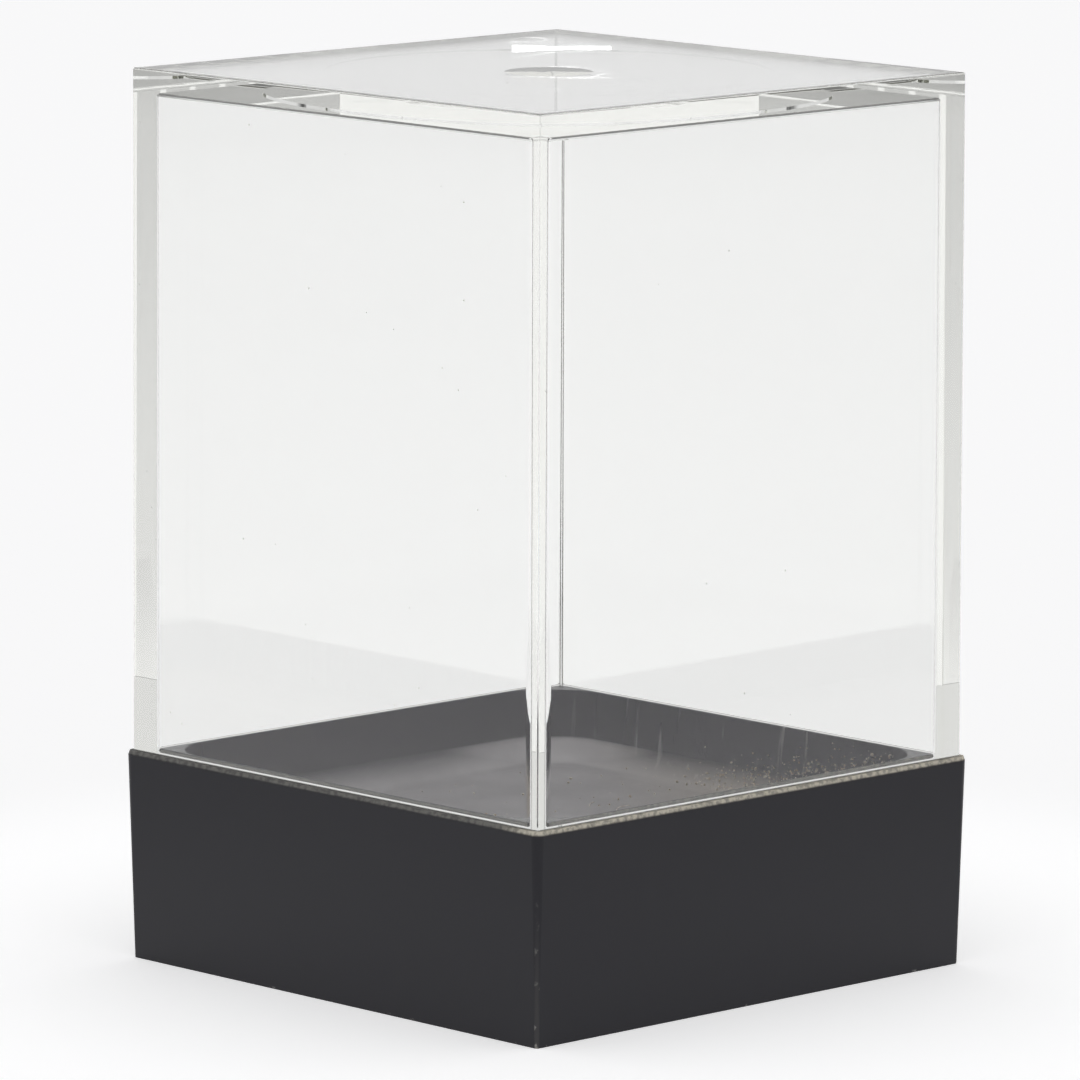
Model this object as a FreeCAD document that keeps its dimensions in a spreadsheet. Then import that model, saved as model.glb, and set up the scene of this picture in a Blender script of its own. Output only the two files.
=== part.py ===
"""Display cube: a clear box-shaped cover that lifts off a black dished base.

The frame is +Z up, with the origin at the centre of the base's underside and X and Y
square to the sides. Sizes are in millimetres.
"""
import FreeCAD, Part
import math
import os

import Sketcher

FLAT = 1e-6
CLOSE = 0.05

DIMENSIONS = {
    # overall
    "overall_height": 116.0,
    # cover: one clear moulding with four walls and a roof, open below
    "cover_top_side": 75.15,
    "cover_foot_side": 75.65,
    "cover_wall": 2.9,
    "cover_roof": 3.15,
    "cover_seat_gap": 0.1,
    "cover_inner_radius": 0.75,
    "cover_ceiling_fillet": 0.5,
    "cover_corner_radius": 0.3,
    "cover_edge_radius": 0.2,
    # round marks that the mould leaves on the ceiling
    "insert_mark_radius": 28.9,
    "insert_mark_depth": 0.2,
    "gate_dimple_radius": 5.7,
    "gate_dimple_depth": 0.3,
    # base: outside
    "base_foot_side": 75.55,
    "base_rim_side": 77.2,
    "rim_height": 27.4,
    "rim_bevel_width": 0.22,
    "rim_bevel_drop": 0.55,
    "base_corner_radius": 0.3,
    # base: raised step that the cover fits around
    "step_rise": 0.35,
    "step_clearance": 0.15,
    "step_land": 0.5,
    "step_edge_radius": 0.15,
    # base: dished tray that holds what is shown
    "tray_floor_height": 17.9,
    "tray_draft": 4.0,
    "tray_corner_radius": 7.0,
    "tray_floor_fillet": 3.5,
    # base: hollow underside
    "shell_wall": 2.4,
    "hollow_draft": 1.5,
    "hollow_corner_radius": 3.0,
    "hollow_roof_fillet": 1.5,
}

doc = FreeCAD.newDocument("display_cube")
sheet = doc.addObject("Spreadsheet::Sheet", "Dimensions")
for row, (alias, value) in enumerate(DIMENSIONS.items(), start=1):
    sheet.set(f"A{row}", alias)
    sheet.set(f"B{row}", str(value))
    sheet.setAlias(f"B{row}", alias)
doc.recompute()


def size(alias):
    """The number in the sheet's cell of that name."""
    return float(getattr(sheet, alias))


def cells(formula):
    """A formula in which every dimension's name is made a reference to its cell."""
    words = formula.split()
    return " ".join(f"Dimensions.{word}" if word in DIMENSIONS else word for word in words)


def origin_plane(body, role):
    """One of a body's own origin planes."""
    return next(item for item in body.Origin.OriginFeatures if item.Role == role)


def new_body(label):
    """A body that is named after the piece it holds."""
    body = doc.addObject("PartDesign::Body", label)
    body.Label = label
    return body


def new_sketch(body, name, role, height=None):
    """An empty sketch on an origin plane, or raised above it by a formula."""
    sketch = body.newObject("Sketcher::SketchObject", name)
    sketch.AttachmentSupport = [(origin_plane(body, role), "")]
    sketch.MapMode = "FlatFace"
    if height:
        sketch.setExpression("AttachmentOffset.Base.z", cells(height))
    return sketch


def rounded_sketch(body, name, height, side, radius):
    """A square about the vertical axis with rounded corners, its sizes from formulas."""
    sketch = new_sketch(body, name, "XY_Plane", height)
    half, corner_radius = 20.0, 2.0
    run = half - corner_radius
    axis = FreeCAD.Vector(0, 0, 1)
    for quarter in range(4):
        turn = FreeCAD.Rotation(axis, 90 * quarter)
        start = turn.multVec(FreeCAD.Vector(-run, -half, 0))
        end = turn.multVec(FreeCAD.Vector(run, -half, 0))
        centre = turn.multVec(FreeCAD.Vector(run, -run, 0))
        sketch.addGeometry(Part.LineSegment(start, end))
        circle = Part.Circle(centre, axis, corner_radius)
        first = math.radians(90 * quarter - 90)
        sketch.addGeometry(Part.ArcOfCircle(circle, first, first + math.pi / 2))
    lines = (0, 2, 4, 6)
    arcs = (1, 3, 5, 7)
    for index in range(8):
        following = (index + 1) % 8
        sketch.addConstraint(Sketcher.Constraint("Tangent", index, 2, following, 1))
    for line in lines:
        direction = "Horizontal" if line in (0, 4) else "Vertical"
        sketch.addConstraint(Sketcher.Constraint(direction, line))
    for arc in arcs[1:]:
        sketch.addConstraint(Sketcher.Constraint("Equal", arcs[0], arc))
    sketch.addConstraint(Sketcher.Constraint("Equal", lines[0], lines[1]))
    sketch.addConstraint(Sketcher.Constraint("Symmetric", 0, 1, 4, 1, -1, 1))
    width = sketch.addConstraint(Sketcher.Constraint("DistanceX", 6, 1, 2, 1, 2 * half))
    corner = sketch.addConstraint(Sketcher.Constraint("Radius", arcs[0], corner_radius))
    sketch.renameConstraint(width, "side")
    sketch.renameConstraint(corner, "radius")
    sketch.setExpression("Constraints.side", cells(side))
    sketch.setExpression("Constraints.radius", cells(radius))
    return sketch


def circle_sketch(body, name, height, radius):
    """A circle about the vertical axis, at one height, with its radius from a formula."""
    sketch = new_sketch(body, name, "XY_Plane", height)
    sketch.addGeometry(Part.Circle(FreeCAD.Vector(0, 0, 0), FreeCAD.Vector(0, 0, 1), 5.0))
    sketch.addConstraint(Sketcher.Constraint("Coincident", 0, 3, -1, 1))
    rim = sketch.addConstraint(Sketcher.Constraint("Radius", 0, 5.0))
    sketch.renameConstraint(rim, "radius")
    sketch.setExpression("Constraints.radius", cells(radius))
    return sketch


def extrude(body, kind, name, sketch, length, taper=None, downward=False):
    """A Pad or a Pocket of a sketch, with its length and draft from formulas."""
    before = body.Shape.Volume if body.Tip else 0.0
    feature = body.newObject(f"PartDesign::{kind}", name)
    feature.Profile = sketch
    # a pad grows up its sketch's axis, and a pocket cuts down it, unless reversed
    feature.Reversed = downward if kind == "Pad" else not downward
    feature.setExpression("Length", cells(length))
    if taper:
        feature.setExpression("TaperAngle", cells(taper))
    doc.recompute()
    changed = body.Shape.Volume - before
    if (changed > FLAT) != (kind == "Pad") or abs(changed) < FLAT:
        raise RuntimeError(f"{name} changed the volume by {changed:.3f}")
    return feature


def edge_names(shape, wanted):
    """The names of the edges that pass a test."""
    return [f"Edge{i}" for i, edge in enumerate(shape.Edges, start=1) if wanted(edge)]


def at_height(height, reach=None):
    """A test for edges that lie level at one height, and at most some way out."""

    def test(edge):
        box = edge.BoundBox
        level = abs(box.ZMin - height) < CLOSE and abs(box.ZMax - height) < CLOSE
        out = max(abs(box.XMin), abs(box.XMax), abs(box.YMin), abs(box.YMax))
        return level and (reach is None or out < reach)

    return test


def dress(body, kind, name, wanted, sizes):
    """A Fillet or Chamfer on the edges of the body's last feature that pass a test."""
    base = body.Tip
    edges = edge_names(base.Shape, wanted)
    if not edges:
        raise RuntimeError(f"{name} found no edges")
    feature = body.newObject(f"PartDesign::{kind}", name)
    feature.Base = (base, edges)
    if kind == "Chamfer":
        feature.ChamferType = "Two distances"
    for setting, formula in sizes.items():
        feature.setExpression(setting, cells(formula))
    doc.recompute()
    return feature


def round_off(body, name, wanted, radius):
    """A Fillet with its radius from a formula."""
    return dress(body, "Fillet", name, wanted, {"Radius": radius})


def make_cover():
    """The clear cover: drafted walls, a flat roof, rounded inner corners and mould marks."""
    body = new_body("clear_cover")
    foot = "( rim_height + cover_seat_gap )"
    ceiling = "( overall_height - cover_roof )"
    draft = f"atan( ( cover_top_side - cover_foot_side ) / 2 / ( overall_height - {foot} ) )"
    outline = rounded_sketch(body, "cover_outline", foot, "cover_foot_side", "cover_corner_radius")
    extrude(body, "Pad", "cover_block", outline, f"overall_height - {foot}", draft)
    inside = "cover_foot_side - 2 * cover_wall"
    cavity = rounded_sketch(body, "cavity_outline", foot, inside, "cover_inner_radius")
    extrude(body, "Pocket", "cavity", cavity, f"{ceiling} - {foot}", draft)

    roof = size("overall_height") - size("cover_roof")
    top = size("overall_height")
    round_off(body, "ceiling_round", at_height(roof), "cover_ceiling_fillet")
    round_off(body, "roof_edges", at_height(top), "cover_edge_radius")

    mark = circle_sketch(body, "insert_mark_outline", ceiling, "insert_mark_radius")
    extrude(body, "Pocket", "insert_mark", mark, "insert_mark_depth")
    make_gate_dimple(body)
    return body


def make_gate_dimple(body):
    """A shallow round dimple in the middle of the ceiling, a cap of a large sphere."""
    rise = size("gate_dimple_depth")
    reach = size("gate_dimple_radius")
    ceiling = size("overall_height") - size("cover_roof") + size("insert_mark_depth")
    sphere = (reach**2 + rise**2) / (2 * rise)
    sketch = new_sketch(body, "gate_dimple_profile", "XZ_Plane")
    centre = FreeCAD.Vector(0, ceiling + rise - sphere, 0)
    lowest = FreeCAD.Vector(0, ceiling, 0)
    rim = FreeCAD.Vector(reach, ceiling, 0)
    peak = FreeCAD.Vector(0, ceiling + rise, 0)
    sketch.addGeometry(Part.LineSegment(lowest, rim))
    circle = Part.Circle(centre, FreeCAD.Vector(0, 0, 1), sphere)
    sketch.addGeometry(Part.ArcOfCircle(circle, circle.parameter(rim), circle.parameter(peak)))
    sketch.addGeometry(Part.LineSegment(peak, lowest))
    sketch.addConstraint(Sketcher.Constraint("Coincident", 0, 2, 1, 1))
    sketch.addConstraint(Sketcher.Constraint("Coincident", 1, 2, 2, 1))
    sketch.addConstraint(Sketcher.Constraint("Coincident", 2, 2, 0, 1))
    sketch.addConstraint(Sketcher.Constraint("Horizontal", 0))
    sketch.addConstraint(Sketcher.Constraint("PointOnObject", 0, 1, -2))
    sketch.addConstraint(Sketcher.Constraint("PointOnObject", 2, 1, -2))
    sketch.addConstraint(Sketcher.Constraint("PointOnObject", 1, 3, -2))
    lengths = {
        "reach": ("DistanceX", (0, 1, 0, 2), reach, "gate_dimple_radius"),
        "depth": ("DistanceY", (0, 1, 2, 1), rise, "gate_dimple_depth"),
        "level": ("DistanceY", (-1, 1, 0, 1), ceiling,
                  "overall_height - cover_roof + insert_mark_depth"),
    }
    for name, (kind, points, value, formula) in lengths.items():
        index = sketch.addConstraint(Sketcher.Constraint(kind, *points, value))
        sketch.renameConstraint(index, name)
        sketch.setExpression(f"Constraints.{name}", cells(formula))
    before = body.Shape.Volume
    groove = body.newObject("PartDesign::Groove", "gate_dimple")
    groove.Profile = sketch
    groove.ReferenceAxis = (sketch, ["V_Axis"])
    groove.Angle = 360
    doc.recompute()
    if body.Shape.Volume > before - FLAT:
        raise RuntimeError("the gate dimple cut nothing")


def make_base():
    """The black base: drafted block, bevelled rim, step for the cover, tray and hollow."""
    body = new_body("base_tray")
    spread = "atan( ( base_rim_side - base_foot_side ) / 2 / rim_height )"
    outline = rounded_sketch(body, "base_outline", None, "base_foot_side", "base_corner_radius")
    extrude(body, "Pad", "base_block", outline, "rim_height", spread)
    rim = size("rim_height")
    bevel = {"Size": "rim_bevel_drop", "Size2": "rim_bevel_width"}
    dress(body, "Chamfer", "rim_bevel", at_height(rim), bevel)

    brim = "rim_height + step_rise"
    step_side = "( cover_foot_side - 2 * cover_wall - 2 * step_clearance )"
    step = rounded_sketch(body, "step_outline", "rim_height", step_side, "cover_inner_radius")
    extrude(body, "Pad", "step", step, "step_rise")
    top = rim + size("step_rise")
    step_half = size("cover_foot_side") / 2 - size("cover_wall") - size("step_clearance")
    round_off(body, "step_edges", at_height(top), "step_edge_radius")

    depth = f"{brim} - tray_floor_height"
    tray_side = f"{step_side} - 2 * step_land"
    tray = rounded_sketch(body, "tray_outline", brim, tray_side, "tray_corner_radius")
    extrude(body, "Pocket", "tray", tray, depth, "-1 * tray_draft * 1deg", downward=True)
    floor = size("tray_floor_height")
    round_off(body, "tray_floor_round", at_height(floor), "tray_floor_fillet")
    lip = step_half - size("step_land") / 2
    round_off(body, "tray_lip", at_height(top, lip), "step_edge_radius")

    hollow_side = "base_foot_side - 2 * shell_wall"
    hollow = rounded_sketch(body, "hollow_outline", None, hollow_side, "hollow_corner_radius")
    height = "tray_floor_height - shell_wall"
    extrude(body, "Pocket", "hollow", hollow, height, "-1 * hollow_draft * 1deg")
    roof = floor - size("shell_wall")
    round_off(body, "hollow_roof_round", at_height(roof), "hollow_roof_fillet")
    return body


def check_document():
    """Stop if any object failed or is invalid."""
    for item in doc.Objects:
        if {"Invalid", "Error"} & set(item.State):
            raise RuntimeError(f"{item.Name}: {item.State}")


def write_parts(bodies):
    """Write each piece to its own STEP file, named after its label."""
    os.makedirs("parts", exist_ok=True)
    for body in bodies:
        shape = body.Shape
        if shape.isNull() or not shape.isValid() or len(shape.Solids) != 1:
            raise RuntimeError(f"{body.Label} isn't one valid solid")
        shape.exportStep(f"parts/{body.Label}.step")
        box = shape.BoundBox
        extent = f"{box.XLength:.2f} x {box.YLength:.2f} x {box.ZMin:.2f}..{box.ZMax:.2f}"
        print(f"{body.Label}: {extent} mm, {shape.Volume / 1000:.2f} cm3")


pieces = [make_base(), make_cover()]
doc.recompute()
check_document()
write_parts(pieces)
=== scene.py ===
"""Looks of the display cube: a clear cover over a black dished base, on a white table."""
import math
import random

import bmesh
import bpy
from mathutils import Matrix, Vector


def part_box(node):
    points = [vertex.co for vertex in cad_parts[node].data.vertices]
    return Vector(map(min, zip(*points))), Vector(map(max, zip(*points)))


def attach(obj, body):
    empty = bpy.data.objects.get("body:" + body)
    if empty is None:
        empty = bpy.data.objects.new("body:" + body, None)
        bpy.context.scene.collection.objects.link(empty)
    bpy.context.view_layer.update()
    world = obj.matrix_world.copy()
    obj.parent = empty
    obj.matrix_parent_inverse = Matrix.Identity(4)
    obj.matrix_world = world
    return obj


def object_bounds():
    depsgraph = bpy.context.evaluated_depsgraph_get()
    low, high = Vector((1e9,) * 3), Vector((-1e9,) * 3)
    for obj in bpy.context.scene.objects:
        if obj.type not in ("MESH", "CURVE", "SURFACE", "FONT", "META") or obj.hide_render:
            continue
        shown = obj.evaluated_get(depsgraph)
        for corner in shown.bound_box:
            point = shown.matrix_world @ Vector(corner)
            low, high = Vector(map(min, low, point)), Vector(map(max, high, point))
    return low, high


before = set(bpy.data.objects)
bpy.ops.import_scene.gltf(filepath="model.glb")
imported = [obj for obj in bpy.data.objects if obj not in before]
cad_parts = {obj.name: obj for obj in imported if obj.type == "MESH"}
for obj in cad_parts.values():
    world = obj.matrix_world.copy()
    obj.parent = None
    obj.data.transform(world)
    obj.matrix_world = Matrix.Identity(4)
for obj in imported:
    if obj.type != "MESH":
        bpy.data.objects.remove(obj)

cad_low, cad_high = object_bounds()
MM = 0.001

# the photograph's view: angles in degrees, round the object and above the horizon
VIEW_AZIMUTH = -43.89
VIEW_ELEVATION = 9.06
VIEW_ROLL = 0.21
VIEW_DISTANCE = 1.101
AIM_SHARE = 0.476  # of the object's height
LENS = 285.0
SENSOR = 36.0
SHIFT_X = -0.0065

# level directions of that view, fixed in the world
TOWARDS_RIGHT = (math.cos(math.radians(VIEW_AZIMUTH)), math.sin(math.radians(VIEW_AZIMUTH)), 0)
AWAY = (-TOWARDS_RIGHT[1], TOWARDS_RIGHT[0], 0)

# the base's shape, in metres; a half is a distance from the centre to a side
base_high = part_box("base_tray")[1]
cover_low, cover_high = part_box("clear_cover")
FOOT_HALF = 0.5 * 75.55 * MM
RIM_HALF = base_high.x
RIM_TOP = cover_low.z - 0.1 * MM
TRAY_TOP_HALF = 34.12 * MM
TRAY_DRAFT = math.radians(4.0)
TRAY_FILLET = 3.5 * MM
FLOOR_HEIGHT = 17.9 * MM

CLEAR_IOR = 1.59
BLACK_IOR = 1.4


# ---------------------------------------------------------------- camera
def make_camera():
    """A long lens looking at the object's front corner from a little above."""
    turn, tilt, roll = (math.radians(a) for a in (VIEW_AZIMUTH, VIEW_ELEVATION, VIEW_ROLL))
    forward = Vector((-math.sin(turn) * math.cos(tilt), math.cos(turn) * math.cos(tilt),
                      -math.sin(tilt)))
    level = Vector((math.cos(turn), math.sin(turn), 0))
    upward = level.cross(forward)
    right = level * math.cos(roll) + upward * math.sin(roll)
    top = upward * math.cos(roll) - level * math.sin(roll)
    aim = Vector((0, 0, AIM_SHARE * cad_high.z))
    data = bpy.data.cameras.new("camera")
    data.lens, data.sensor_width, data.shift_x = LENS, SENSOR, SHIFT_X
    data.clip_start, data.clip_end = 0.05, 20
    camera = bpy.data.objects.new("camera", data)
    axes = Matrix((right, top, -forward)).transposed().to_4x4()
    camera.matrix_world = Matrix.Translation(aim - forward * VIEW_DISTANCE) @ axes
    bpy.context.scene.collection.objects.link(camera)
    bpy.context.scene.camera = camera


# ---------------------------------------------------------------- node helpers
class Nodes:
    """Builds one node tree with short calls."""

    def __init__(self, tree):
        self.tree = tree
        tree.nodes.clear()

    def add(self, kind, values=None, **settings):
        node = self.tree.nodes.new(kind)
        for name, value in settings.items():
            setattr(node, name, value)
        for socket, value in (values or {}).items():
            self.put(value, node.inputs[socket])
        return node

    def put(self, value, socket):
        if isinstance(value, bpy.types.NodeSocket):
            self.tree.links.new(value, socket)
        else:
            socket.default_value = value

    def math(self, operation, *values, clamp=False):
        node = self.add("ShaderNodeMath", dict(enumerate(values)), operation=operation)
        node.use_clamp = clamp
        return node.outputs[0]

    def times(self, first, *others):
        """Everything multiplied together."""
        for other in others:
            first = self.math("MULTIPLY", first, other)
        return first

    def vector(self, operation, *values):
        node = self.add("ShaderNodeVectorMath", dict(enumerate(values)), operation=operation)
        return node.outputs["Value" if operation in ("DOT_PRODUCT", "LENGTH") else "Vector"]

    def ramp(self, value, low, high, smooth=True):
        """0 below low, 1 above high; falling if low is above high."""
        node = self.add("ShaderNodeMapRange", {"Value": value, "From Min": low, "From Max": high})
        node.interpolation_type = "SMOOTHSTEP" if smooth else "LINEAR"
        node.clamp = True
        return node.outputs["Result"]

    def noise(self, where, scale, detail=2.0, roughness=0.5):
        values = {"Vector": where, "Scale": scale, "Detail": detail, "Roughness": roughness}
        return self.add("ShaderNodeTexNoise", values).outputs["Fac"]

    def stretched(self, where, upright):
        """The same place with its Z multiplied."""
        values = {"Vector": where, "Scale": (1.0, 1.0, upright)}
        return self.add("ShaderNodeMapping", values).outputs[0]

    def mix(self, share, first, second):
        values = {0: share, 6: first, 7: second}
        return self.add("ShaderNodeMix", values, data_type="RGBA").outputs[2]

    def mix_value(self, share, first, second):
        values = {0: share, 2: first, 3: second}
        return self.add("ShaderNodeMix", values, data_type="FLOAT").outputs[0]

    def bump(self, height, strength, distance):
        values = {"Height": height, "Strength": strength, "Distance": distance}
        return self.add("ShaderNodeBump", values).outputs[0]

    def end(self, kind, **sockets):
        """The output node, with what goes into it."""
        node = self.add(kind)
        for name, value in sockets.items():
            self.put(value, node.inputs[name])


def new_material(name):
    material = bpy.data.materials.new(name)
    material.use_nodes = True
    nodes = Nodes(material.node_tree)
    return material, nodes, nodes.add("ShaderNodeTexCoord").outputs["Object"]


# ---------------------------------------------------------------- materials
def clear_plastic():
    """Clear crystal polystyrene: sharp refraction, a faint yellow tint along long paths."""
    material, n, where = new_material("clear_plastic")
    wave = n.noise(where, 45.0, 1.0)
    fine = n.noise(where, 900.0, 2.0)
    ripples = n.math("ADD", wave, n.times(fine, 0.004))
    smudge = n.ramp(n.noise(where, 60.0, 3.0), 0.6, 0.85)
    cell = n.add("ShaderNodeTexVoronoi", {"Vector": where, "Scale": 230.0})
    speck = n.times(n.ramp(cell.outputs["Distance"], 0.045, 0.02),
                    n.ramp(n.noise(where, 35.0), 0.5, 0.6))

    # the plug where the plastic entered the mould is yellower
    axis = n.add("ShaderNodeSeparateXYZ", {"Vector": where}).outputs
    spread = n.add("ShaderNodeCombineXYZ", {"X": axis["X"], "Y": axis["Y"]}).outputs[0]
    roof = cover_high.z
    plug = n.times(n.ramp(n.vector("LENGTH", spread), 5.75 * MM, 5.45 * MM),
                   n.ramp(axis["Z"], roof - 2.0 * MM, roof - 2.3 * MM),
                   n.ramp(axis["Z"], roof - 3.5 * MM, roof - 3.2 * MM))
    tint = n.mix(speck, (0.995, 0.997, 0.99, 1), (0.70, 0.68, 0.62, 1))
    shader = n.add("ShaderNodeBsdfPrincipled", {
        "Base Color": n.mix(plug, tint, (0.90, 0.89, 0.74, 1)),
        "Roughness": n.mix_value(speck, n.times(smudge, 0.012), 0.5),
        "IOR": CLEAR_IOR,
        "Transmission Weight": 1.0,
        "Normal": n.bump(ripples, 0.05, 0.1 * MM)})
    haze = n.add("ShaderNodeVolumeAbsorption", {"Color": (0.6, 0.64, 0.17, 1), "Density": 0.8})
    n.end("ShaderNodeOutputMaterial", Surface=shader.outputs[0], Volume=haze.outputs[0])
    return material


def black_plastic():
    """Satin black moulded plastic, worn pale along its edges, dusty at the seam, with painted
    highlights on the rim and the tray's corner fillets, and a floor painted pale by dust and
    painted reflection.
    """
    material, n, where = new_material("black_plastic")
    axis = n.add("ShaderNodeSeparateXYZ", {"Vector": where}).outputs
    height = axis["Z"]
    across, along = n.math("ABSOLUTE", axis["X"]), n.math("ABSOLUTE", axis["Y"])
    both = n.math("ADD", across, along)
    reach = n.math("MAXIMUM", across, along)
    half_side = n.math("MULTIPLY_ADD", height, (RIM_HALF - FOOT_HALF) / RIM_TOP, FOOT_HALF)
    past_corner = n.math("SUBTRACT", n.times(both, 0.5), half_side)
    sideways = n.vector("DOT_PRODUCT", where, TOWARDS_RIGHT)
    inside = n.ramp(reach, 34.5 * MM, 34.3 * MM)

    coarse = n.noise(where, 90.0, 4.0, 0.6)
    medium = n.noise(where, 420.0, 3.0, 0.6)
    grain = n.noise(where, 4200.0, 2.0)

    # the vertical corners and the foot are rubbed and chipped
    chipped = n.math("MULTIPLY_ADD", n.ramp(medium, 0.56, 0.65), 0.9, 0.1)
    corner_rub = n.times(n.ramp(past_corner, -0.28 * MM, -0.1 * MM), chipped)
    foot_rub = n.times(n.ramp(height, 0.4 * MM, 0.05 * MM), n.ramp(medium, 0.6, 0.72))
    outside = n.ramp(n.math("SUBTRACT", half_side, reach), 0.6 * MM, 0.3 * MM)
    rub = n.times(n.math("MAXIMUM", corner_rub, foot_rub), outside)

    # the seam's top edge is painted pale: real dust, thickest on the side towards -Y, and
    # elsewhere a painted highlight where the rim's edge catches light from above
    seam = n.times(n.ramp(height, RIM_TOP - 0.62 * MM, RIM_TOP - 0.3 * MM),
                   n.ramp(reach, 34.6 * MM, 34.72 * MM))
    dusty_side = n.ramp(axis["Y"], -30 * MM, -37 * MM)
    patchy = n.math("MULTIPLY_ADD", n.ramp(n.noise(where, 1400.0, 3.0), 0.36, 0.6), 0.5, 0.5)
    seam_dust_and_highlight = n.times(seam, patchy, n.math("MULTIPLY_ADD", dusty_side, 0.5, 0.5))
    # the rim's flat top, where the cover's foot sits, is painted pale: a painted highlight for
    # the land lit from above, with packed dust
    rim_top_dust_and_highlight = n.times(n.ramp(reach, 37.85 * MM, 37.75 * MM), n.ramp(reach, 34.7 * MM, 34.8 * MM),
                    n.ramp(height, RIM_TOP - 0.3 * MM, RIM_TOP - 0.1 * MM))

    # dried streaks run down the tray's walls
    streak = n.ramp(n.noise(n.stretched(where, 0.06), 900.0, 2.0), 0.6, 0.72)
    on_wall = n.times(n.ramp(reach, 32.6 * MM, 33.2 * MM), inside)
    streaks = n.times(streak, on_wall, n.ramp(sideways, -10 * MM, 25 * MM))

    # fine settled dust dulls the tray's floor, and a painted reflection of the bright room makes
    # it paler still; the fillet in its corners gets a painted highlight
    floor_dust_and_reflection = n.times(n.ramp(height, 21.6 * MM, 18.4 * MM, smooth=False), 0.84)
    # towards the corners the fillet gets a painted highlight
    corner_highlight_zone = n.ramp(both, 44 * MM, 62 * MM)
    fillet_highlight = n.times(corner_highlight_zone, n.ramp(height, 21.6 * MM, 21.2 * MM), 0.84)
    # a painted highlight band across the fillet in the corners
    fillet_highlight_band = n.times(n.ramp(height, 21.4 * MM, 20.6 * MM), n.ramp(height, 18.0 * MM, 18.4 * MM),
                   corner_highlight_zone)
    dust_and_painted_light = n.math("ADD", n.math("MAXIMUM", floor_dust_and_reflection, fillet_highlight), n.times(fillet_highlight_band, 0.3))
    blotch = n.math("MULTIPLY_ADD", n.ramp(coarse, 0.3, 0.7), 0.14, 0.86)
    above_hollow = n.ramp(height, 16.6 * MM, 17.2 * MM)
    dust_and_painted_light = n.times(dust_and_painted_light, inside, blotch, above_hollow)

    bare = n.mix(coarse, (0.0030, 0.0028, 0.0070, 1), (0.0062, 0.0056, 0.0110, 1))
    bare = n.mix(inside, bare, (0.011, 0.004, 0.024, 1))
    colour = n.mix(rub, bare, (0.30, 0.29, 0.27, 1))
    colour = n.mix(n.times(streaks, 0.8), colour, (0.34, 0.33, 0.33, 1))
    # the floor's pale tone is partly dust colour and partly painted reflection of the bright
    # room; it is warmer towards the right
    floor_dust_and_reflection_tone = n.mix(n.ramp(sideways, 0.0, 30 * MM), (0.76, 0.73, 0.755, 1),
                       (0.76, 0.68, 0.60, 1))
    # paint the floor pale: dust and painted reflection, with the painted fillet highlight
    colour = n.mix(dust_and_painted_light, colour, floor_dust_and_reflection_tone)
    # cream dust on the -Y side; elsewhere pale grey, a painted highlight on the rim's edge
    seam_dust_and_highlight_tone = n.mix(dusty_side, (0.36, 0.35, 0.32, 1), (0.60, 0.56, 0.47, 1))
    # the rim's flat top: painted highlight with packed dust
    seam_dust_and_highlight_tone = n.mix(rim_top_dust_and_highlight, seam_dust_and_highlight_tone, (0.66, 0.645, 0.61, 1))
    # paint the rim's top edge pale: dust and painted highlight
    colour = n.mix(n.math("MAXIMUM", seam_dust_and_highlight, n.times(rim_top_dust_and_highlight, 0.9)), colour, seam_dust_and_highlight_tone)

    sheen = n.mix_value(inside, 0.34, 0.24)
    rough = n.math("MULTIPLY_ADD", n.math("SUBTRACT", coarse, 0.5), 0.08, sheen)
    dulled = n.times(n.math("MAXIMUM", rub, seam_dust_and_highlight), 0.4)
    relief = n.math("ADD", n.times(grain, n.mix_value(inside, 0.3, 0.04)), n.times(rub, 1.2))
    relief = n.math("ADD", relief, n.times(seam_dust_and_highlight, medium))
    shader = n.add("ShaderNodeBsdfPrincipled", {
        "Base Color": colour,
        "Roughness": n.math("ADD", rough, dulled, clamp=True),
        "IOR": BLACK_IOR,
        "Normal": n.bump(relief, 0.25, 0.06 * MM)})
    n.end("ShaderNodeOutputMaterial", Surface=shader.outputs[0])
    return material


def dust_grain():
    """Sandy grains and pale lint."""
    material, n, where = new_material("dust")
    tone = n.noise(where, 1500.0, 2.0)
    shader = n.add("ShaderNodeBsdfPrincipled", {
        "Base Color": n.mix(n.ramp(tone, 0.35, 0.65), (0.50, 0.38, 0.27, 1),
                            (0.92, 0.86, 0.76, 1)),
        "Roughness": n.mix_value(tone, 0.75, 0.95),
        "Normal": n.bump(n.noise(where, 9000.0, 2.0), 0.4, 0.03 * MM)})
    n.end("ShaderNodeOutputMaterial", Surface=shader.outputs[0])
    return material


def dress(node, material):
    """Give a CAD node its finished material."""
    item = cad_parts[node]
    item.data.materials.clear()
    item.data.materials.append(material)


# ---------------------------------------------------------------- dust on the tray
FLOOR_GRAINS = 260
ALL_GRAINS = 1150
FIBRES = 9
FIBRE_SIDES = 5


def new_piece(name, points, faces, material):
    """A mesh piece that rides on the base."""
    mesh = bpy.data.meshes.new(name)
    mesh.from_pydata(points, [], faces)
    mesh.materials.append(material)
    piece = bpy.data.objects.new(name, mesh)
    bpy.context.scene.collection.objects.link(piece)
    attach(piece, "base")
    return piece


def unit_lump():
    """The corners and faces of a regular twenty-sided solid."""
    ball = bmesh.new()
    bmesh.ops.create_icosphere(ball, subdivisions=1, radius=1.0)
    points = [vert.co.copy() for vert in ball.verts]
    faces = [[vert.index for vert in face.verts] for face in ball.faces]
    ball.free()
    return points, faces


def wall_face(height):
    """How far out the tray's drafted wall, or the fillet at its foot, stands at one height."""
    out = TRAY_TOP_HALF - (base_high.z - height) * math.tan(TRAY_DRAFT)
    below = min(1.0, max(0.0, (FLOOR_HEIGHT + TRAY_FILLET - height) / TRAY_FILLET))
    return out - TRAY_FILLET * (1.0 - math.sqrt(1.0 - below * below))


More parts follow.
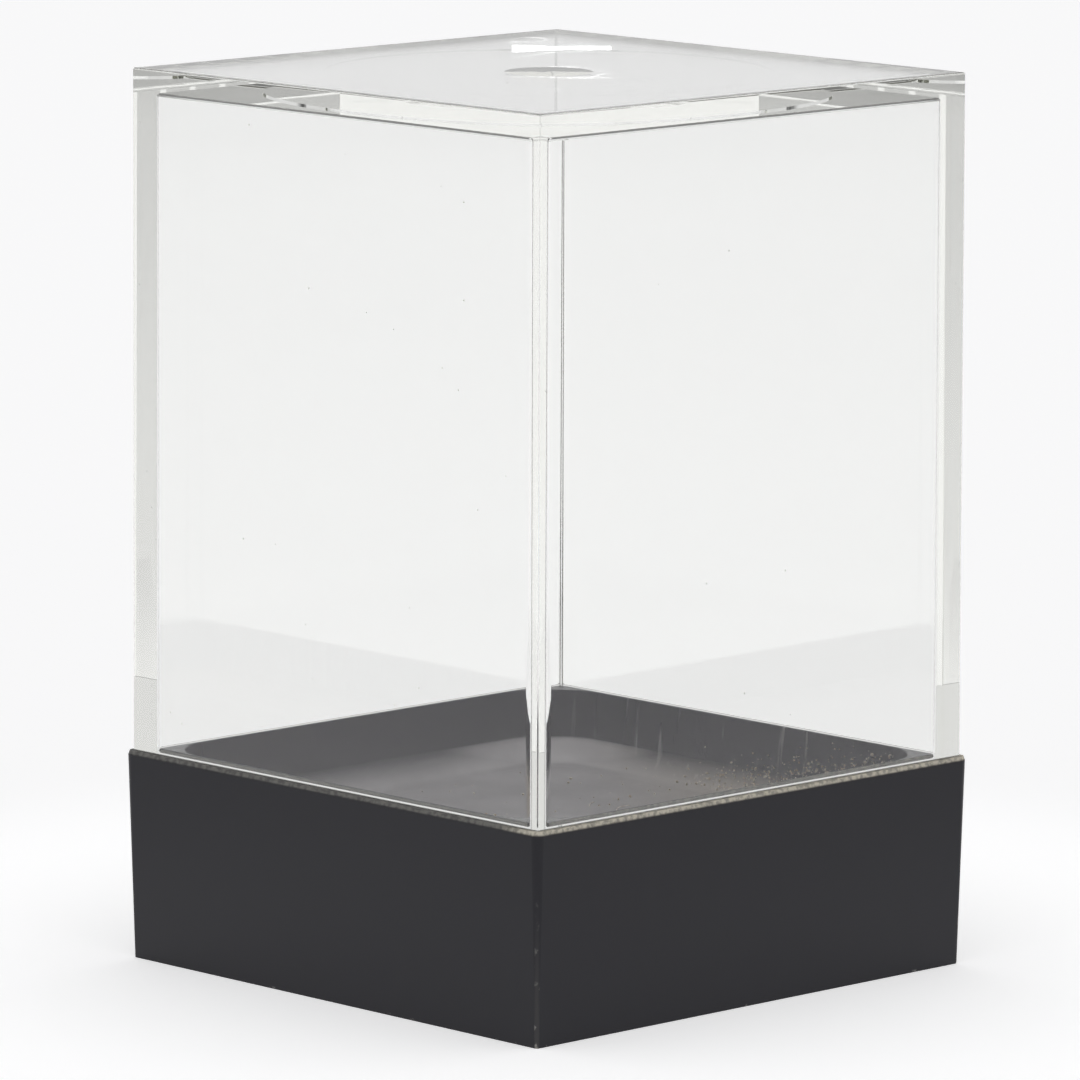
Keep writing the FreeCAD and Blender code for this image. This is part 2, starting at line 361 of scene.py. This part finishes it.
def grain_places(rng):
    """Places on the tray's floor and up its +X wall, closest together towards one corner."""
    places = []
    while len(places) < FLOOR_GRAINS:
        x, y = rng.uniform(-29.5, 29.5) * MM, rng.uniform(-29.5, 29.5) * MM
        share = (x * TOWARDS_RIGHT[0] + y * TOWARDS_RIGHT[1]) / (42 * MM)
        if rng.random() < 0.18 + 0.82 * max(0.0, share) ** 1.5:
            places.append((x, y, FLOOR_HEIGHT))
    while len(places) < ALL_GRAINS:
        height, y = rng.uniform(18.3, 27.2) * MM, rng.uniform(-28.0, 22.0) * MM
        drift_top = 27.9 * MM - 0.222 * (y + 34 * MM)
        above = max(0.0, height - drift_top)
        if rng.random() < 0.75 * math.exp(-above / (0.8 * MM)):
            places.append((wall_face(height), y, height))
    return places


def make_grains(material):
    """Sandy grains of many sizes."""
    rng = random.Random(41)
    corners, sides = unit_lump()
    points, faces = [], []
    for x, y, z in grain_places(rng):
        radius = 0.06 * MM + 0.17 * MM * rng.random() ** 2.6
        stretch = Vector([rng.uniform(0.65, 1.3) for _ in range(3)])
        turn = Matrix.Rotation(rng.uniform(0, math.tau), 3, "Z")
        lift = 0.6 * radius if z == FLOOR_HEIGHT else 0.0
        start = len(points)
        for corner in corners:
            lump = Vector([c * s for c, s in zip(corner, stretch)]) * rng.uniform(0.8, 1.15)
            points.append(Vector((x, y, z + lift)) + (turn @ lump) * radius)
        faces.extend([[start + index for index in side] for side in sides])
    new_piece("tray_dust", points, faces, material)


def fibre_rings(rng):
    """The rings of points along one curled fibre that lies on the tray's floor."""
    x, y = rng.uniform(-12, 27) * MM, rng.uniform(-27, 12) * MM
    heading, curl = rng.uniform(0, math.tau), rng.uniform(-0.35, 0.35)
    count, step = rng.randint(9, 18), rng.uniform(0.22, 0.4) * MM
    radius = rng.uniform(0.035, 0.05) * MM
    rings = []
    for index in range(count):
        arch = 0.25 * MM * math.sin(math.pi * index / (count - 1)) * rng.uniform(0.7, 1)
        centre = Vector((x, y, FLOOR_HEIGHT + (radius + arch)))
        side = Vector((-math.sin(heading), math.cos(heading), 0))
        angles = [math.tau * spoke / FIBRE_SIDES for spoke in range(FIBRE_SIDES)]
        rings.append([centre + (side * math.cos(a) + Vector((0, 0, math.sin(a)))) * radius
                      for a in angles])
        x, y = x + step * math.cos(heading), y + step * math.sin(heading)
        heading += curl + rng.uniform(-0.2, 0.2)
    return rings


def make_lint(material):
    """A few fine curled fibres on the tray's floor."""
    rng = random.Random(77)
    points, faces = [], []
    for _ in range(FIBRES):
        starts = []
        for ring in fibre_rings(rng):
            starts.append(len(points))
            points.extend(ring)
        for first, second in zip(starts, starts[1:]):
            for spoke in range(FIBRE_SIDES):
                after = (spoke + 1) % FIBRE_SIDES
                faces.append([first + spoke, first + after, second + after, second + spoke])
        faces.append([starts[0] + spoke for spoke in reversed(range(FIBRE_SIDES))])
        faces.append([starts[-1] + spoke for spoke in range(FIBRE_SIDES)])
    new_piece("tray_lint", points, faces, material)


# ---------------------------------------------------------------- stage
WHITE = (1.0, 1.0, 1.004, 1)  # very slightly cool
TABLE_RADIUS = 3.0
TABLE_SIDES = 96
TABLE_WHITE = 0.93
TABLE_GLOW = 0.33  # the table is lit a little from below, which keeps the shadow faint
NEAR_GLOW = 0.10  # and a little more under the object
LAMP_RISE = 0.1005  # sine of the strip lamp's angle above the horizon
LAMP_STRENGTH = 3.0
BOUNCES = 64


def make_floor():
    """A round white table top, greyer far out on both sides of the view."""
    mesh = bpy.data.meshes.new("floor")
    angles = [math.tau * step / TABLE_SIDES for step in range(TABLE_SIDES)]
    rim = [(TABLE_RADIUS * math.cos(a), TABLE_RADIUS * math.sin(a), 0) for a in angles]
    mesh.from_pydata(rim, [], [tuple(range(TABLE_SIDES))])
    floor = bpy.data.objects.new("floor", mesh)
    bpy.context.scene.collection.objects.link(floor)

    material, n, where = new_material("white_table")
    distance = n.vector("LENGTH", where)
    way = n.vector("NORMALIZE", where)
    facing = n.math("ABSOLUTE", n.vector("DOT_PRODUCT", way, TOWARDS_RIGHT))
    side = n.ramp(facing, 0.82, 0.97)
    near_loss = n.times(n.ramp(distance, 0.07, 0.3), 0.20)
    far_loss = n.times(n.ramp(distance, 0.25, 0.8), 0.10)
    loss = n.times(side, n.math("ADD", near_loss, far_loss))
    # past the end of the white sheet the table is grey
    beyond = n.times(side, n.ramp(distance, 0.86, 1.2))
    grey = n.mix_value(n.ramp(n.noise(where, 7.0, 2.0), 0.3, 0.7), 0.22, 0.40)
    white = n.mix_value(beyond, n.math("SUBTRACT", TABLE_WHITE, loss), grey)
    colour = n.mix(white, (0, 0, 0, 1), WHITE)
    strength = n.math("MULTIPLY_ADD", n.ramp(distance, 0.15, 0.075), NEAR_GLOW, TABLE_GLOW)
    paint = n.add("ShaderNodeBsdfDiffuse", {"Color": colour})
    glow = n.add("ShaderNodeEmission", {"Color": colour, "Strength": strength})
    together = n.add("ShaderNodeAddShader", {0: paint.outputs[0], 1: glow.outputs[0]})
    n.end("ShaderNodeOutputMaterial", Surface=together.outputs[0])
    mesh.materials.append(material)


def make_world():
    """A pale room, brightest overhead, with grey streaks just above the table at the sides."""
    world = bpy.data.worlds.new("studio")
    bpy.context.scene.world = world
    world.use_nodes = True
    n = Nodes(world.node_tree)
    way = n.add("ShaderNodeTexCoord").outputs["Generated"]
    height = n.add("ShaderNodeSeparateXYZ", {"Vector": way}).outputs["Z"]
    rise = n.math("ABSOLUTE", height)
    rightward = n.vector("DOT_PRODUCT", way, TOWARDS_RIGHT)

    wall = n.mix_value(n.ramp(rise, 0.0, 0.08), 0.92, 0.73)
    middle = n.mix_value(n.ramp(rise, 0.22, 0.42), wall, 0.20)
    room = n.mix_value(n.ramp(rise, 0.78, 0.9), middle, 1.66)
    side = n.times(n.ramp(n.math("ABSOLUTE", rightward), 0.86, 0.95), n.ramp(rise, 0.155, 0.13))
    streaks = n.ramp(n.noise(n.stretched(way, 3.0), 26.0, 4.0, 0.6), 0.4, 0.62)
    room = n.mix_value(side, room, n.mix_value(streaks, 0.07, 0.28))

    # a far strip lamp, just above the horizon behind the object
    across = n.math("ABSOLUTE", n.math("SUBTRACT", rightward, 0.0015))
    upward = n.math("ABSOLUTE", n.math("SUBTRACT", height, LAMP_RISE))
    lamp = n.times(n.ramp(across, 0.0059, 0.0056),
                   n.ramp(n.vector("DOT_PRODUCT", way, AWAY), 0.9, 0.95),
                   n.ramp(upward, 0.00033, 0.00025))
    strength = n.math("ADD", room, n.times(lamp, LAMP_STRENGTH))
    sky = n.add("ShaderNodeBackground", {"Color": WHITE, "Strength": strength})
    n.end("ShaderNodeOutputWorld", Surface=sky.outputs[0])


def set_look():
    """Plain display colours, and enough bounces for light to leave the thick clear walls."""
    scene = bpy.context.scene
    scene.view_settings.view_transform = "Standard"
    scene.cycles.max_bounces = BOUNCES
    scene.cycles.transmission_bounces = BOUNCES
    scene.cycles.glossy_bounces = BOUNCES
    scene.cycles.use_denoising = True


make_camera()
dress("clear_cover", clear_plastic())
dress("base_tray", black_plastic())
dust = dust_grain()
make_grains(dust)
make_lint(dust)
make_floor()
make_world()
set_look()
